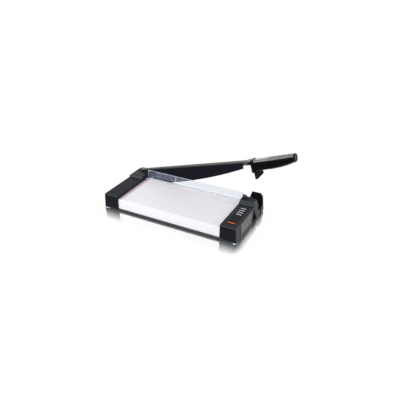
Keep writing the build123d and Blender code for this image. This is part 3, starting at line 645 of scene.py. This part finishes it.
def solids(node):
    """The points of each separate solid in a node."""
    mesh = bmesh.new()
    mesh.from_mesh(nodes[node].data)
    bmesh.ops.remove_doubles(mesh, verts=mesh.verts[:], dist=weld_distance)
    left = dict.fromkeys(mesh.verts)
    groups = []
    while left:
        group = [left.popitem()[0]]
        for vert in group:
            for edge in vert.link_edges:
                other = edge.other_vert(vert)
                if other in left:
                    left.pop(other)
                    group.append(other)
        groups.append([vert.co.copy() for vert in group])
    mesh.free()
    return groups


def limits(points, direction):
    """How far points reach along a direction, at the least and at the most."""
    along = [point.dot(direction) for point in points]
    return min(along), max(along)


def round_solid(points, axis):
    """A round solid along an axis: its middle line, radius and ends, and two directions across it."""
    across = axis.orthogonal().normalized()
    third = axis.cross(across)
    side_low, side_high = limits(points, across)
    third_low, third_high = limits(points, third)
    place = across * (side_low + side_high) / 2 + third * (third_low + third_high) / 2
    return place, (side_high - side_low) / 2, limits(points, axis), across, third


def join_loops(mesh, loops):
    """Skin over a row of closed loops of points, with a face at each end."""
    for near, far in zip(loops, loops[1:]):
        for i in range(len(near)):
            mesh.faces.new((near[i], far[i], far[i - 1], near[i - 1]))
    mesh.faces.new(loops[0])
    mesh.faces.new(reversed(loops[-1]))


def finished(name, mesh):
    """A new piece from a mesh in the making."""
    bmesh.ops.recalc_face_normals(mesh, faces=mesh.faces[:])
    data = bpy.data.meshes.new(name)
    mesh.to_mesh(data)
    mesh.free()
    return placed(name, data)


def button_heads(name, node, axis):
    """Low domed heads with hexagon sockets, on the outer ends of screws along an axis."""
    mesh = bmesh.new()
    turns = [math.tau * i / head_sides for i in range(head_sides)]
    circle = [1.0] * head_sides
    hexagon = [math.cos(socket_side / 2) / math.cos(turn % socket_side - socket_side / 2) for turn in turns]
    rows = [(share, rise, circle) for share, rise in dome_shares]
    rows += [(share, rise, hexagon) for share, rise in socket_shares]
    for points in solids(node):
        place, radius, (_, top), across, third = round_solid(points, axis)
        loops = []
        for share, rise, shape in rows:
            centre = place + axis * (top + head_rise * rise)
            loop = []
            for turn, reach in zip(turns, shape):
                out = across * math.cos(turn) + third * math.sin(turn)
                loop.append(mesh.verts.new(centre + out * (radius * share * reach)))
            loops.append(loop)
        join_loops(mesh, loops)
    return finished(name, mesh)


def coil_springs(name, node, axis, wire, turns):
    """Round-wire springs along an axis, each in the place of one solid of a node."""
    mesh = bmesh.new()
    sides = [math.tau * i / wire_sides for i in range(wire_sides)]
    steps = turns * coil_steps
    for points in solids(node):
        place, radius, (low, high), across, third = round_solid(points, axis)
        loops = []
        for step in range(steps + 1):
            turn = math.tau * step / coil_steps
            out = across * math.cos(turn) + third * math.sin(turn)
            height = low + wire + (high - low - wire * 2) * step / steps
            centre = place + axis * height + out * (radius - wire)
            section = [centre + (out * math.cos(side) + axis * math.sin(side)) * wire for side in sides]
            loops.append([mesh.verts.new(point) for point in section])
        join_loops(mesh, loops)
    return finished(name, mesh)


def box_middle(node):
    low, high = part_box(node)
    return (Vector(low) + Vector(high)) / 2


# Ribs: rings moulded around the outer part of the grip, square to the line from its root to its end
grip_root = box_middle("handle_collar")
grip_run = box_middle("handle_end_cap") - grip_root
rib_step = (rib_end_share - rib_start_share) / (rib_count - 1)
rib_places = [grip_root + grip_run * (rib_start_share + rib_step * i) for i in range(rib_count)]
rib_loops = [section_loop("handle_grip", place, grip_run.normalized()) for place in rib_places]
ribs = wire_rings("grip_ribs", rib_loops, rib_radius, rib_sides)
ribs.data.materials.append(grip.material)
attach(ribs, "arm")

# Screw heads on the back of the rail
backward = Vector((0.0, 1.0, 0.0))
heads = button_heads("blade_screw_heads", "blade_screws", backward)
heads.data.materials.append(steel.material)
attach(heads, "arm")

# Clamp's springs: round-wire coils that stand on the base, in the place of the clamp's spring solids
joints = {joint["name"]: joint for joint in frame["record"]["behaviour"]["joints"]}
upright = Vector((0.0, 0.0, 1.0))
clamp_coils = coil_springs(
    "clamp_spring_coils", "clamp_springs", upright, clamp_spring_wire, clamp_spring_turns
)
clamp_coils.data.materials.append(steel.material)
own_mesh(clamp_coils)
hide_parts("clamp_springs")
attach(clamp_coils, "base")

# Latch's spring: it hangs from the grip, a round-wire coil on the arm in the place of the latch spring's
# solid
arm_lift = math.radians(-joints["arm_hinge"]["range_deg"][0])
arm_up = Vector((-math.sin(arm_lift), 0.0, math.cos(arm_lift)))
latch_coil = coil_springs(
    "latch_spring_coil", "latch_spring", arm_up, latch_spring_wire, latch_spring_turns
)
latch_coil.data.materials.append(steel.material)
latch_points = solids("latch_spring")[0]
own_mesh(latch_coil)
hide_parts("latch_spring")
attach(latch_coil, "arm")

# Floor: white, with the object's soft shadow and a reflection that dies away from the base
floor = Material("floor_white")
base_low, base_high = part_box("base_plate")
base_middle = (base_low[0] + base_high[0]) / 2
base_half = (base_high[0] - base_low[0]) / 2
floor_x, floor_y, _ = floor.place()
beside = floor.minus(floor.off(floor_x, base_middle), base_half)
before = floor.minus(base_low[1], floor_y)
behind = floor.product(floor.minus(floor_y, base_high[1]), reflection_behind)
off_side = floor.largest(floor.product(beside, reflection_beside), 0.0)
off_front = floor.largest(before, behind, 0.0)
away_squared = floor.total(floor.product(off_side, off_side), floor.product(off_front, off_front))
away = floor.math("SQRT", away_squared)
faded = floor.math("POWER", floor.math("DIVIDE", away, reflection_reach), reflection_fall)
mirrored = floor.product(floor.largest(floor.minus(1.0, faded), 0.0), reflection_strength)
glow_first = floor.product(floor.rise(away, glow_start, glow_reach), glow_near)
glow_later = floor.product(floor.rise(away, glow_reach, white_reach), 1.0 - glow_near)

diffuse = floor.add("ShaderNodeBsdfDiffuse")
diffuse.inputs["Color"].default_value = floor_colour
glow = floor.add("ShaderNodeEmission")
glossy = floor.add("ShaderNodeBsdfGlossy")
glossy.inputs["Color"].default_value = mirror_colour
glossy.inputs["Roughness"].default_value = reflection_roughness
white = floor.add("ShaderNodeMixShader")
floor.link(floor.product(floor.seen(), floor.total(glow_first, glow_later)), white.inputs["Fac"])
floor.link(diffuse.outputs["BSDF"], white.inputs[1])
floor.link(glow.outputs["Emission"], white.inputs[2])
mirror = floor.add("ShaderNodeMixShader")
floor.link(mirrored, mirror.inputs["Fac"])
floor.link(white.outputs["Shader"], mirror.inputs[1])
floor.link(glossy.outputs["BSDF"], mirror.inputs[2])
floor.link(mirror.outputs["Shader"], floor.output.inputs["Surface"])
bpy.ops.mesh.primitive_plane_add(size=floor_size)
floor_plane = bpy.context.object
floor_plane.name = "floor"
floor_plane.data.materials.append(floor.material)

# World: white to the eye and in reflections, softer as a light
scene.world = bpy.data.worlds.new("studio")
scene.world.use_nodes = True
sky = Tree(scene.world.node_tree)
background = sky.tree.nodes["Background"]
background.inputs["Color"].default_value = world_colour
sky.link(sky.spread(sky.seen(), world_light, world_seen), background.inputs["Strength"])

object_middle = (Vector(cad_box[0]) + Vector(cad_box[1])) / 2


def softbox(name, place, width, height, watts):
    """A flat area lamp that faces the middle of the object."""
    data = bpy.data.lights.new(name, "AREA")
    data.shape = "RECTANGLE"
    data.size = width
    data.size_y = height
    data.energy = watts
    lamp = placed(name, data)
    lamp.location = place
    lamp.rotation_euler = (Vector(place) - object_middle).to_track_quat("Z", "Y").to_euler()


# Lamps
softbox("back", place=(-0.95, 1.25, 0.38), width=1.8, height=0.5, watts=6.0)
softbox("top", place=(-0.64, -0.55, 1.45), width=1.3, height=1.3, watts=13.0)
softbox("fill", place=(-0.3, -1.8, 0.9), width=1.6, height=1.6, watts=14.0)
softbox("side", place=(1.5, 0.6, 0.7), width=0.9, height=0.9, watts=5.0)

# Camera
camera_data = bpy.data.cameras.new("camera")
camera_data.lens = camera_lens
camera_data.sensor_width = camera_sensor
camera = placed("camera", camera_data)
camera.location = camera_place
camera_back = Vector((
    math.cos(camera_elevation) * math.sin(camera_azimuth),
    -math.cos(camera_elevation) * math.cos(camera_azimuth),
    math.sin(camera_elevation),
))
camera.rotation_euler = camera_back.to_track_quat("Z", "Y").to_euler()
scene.camera = camera
scene.view_settings.view_transform = "Standard"
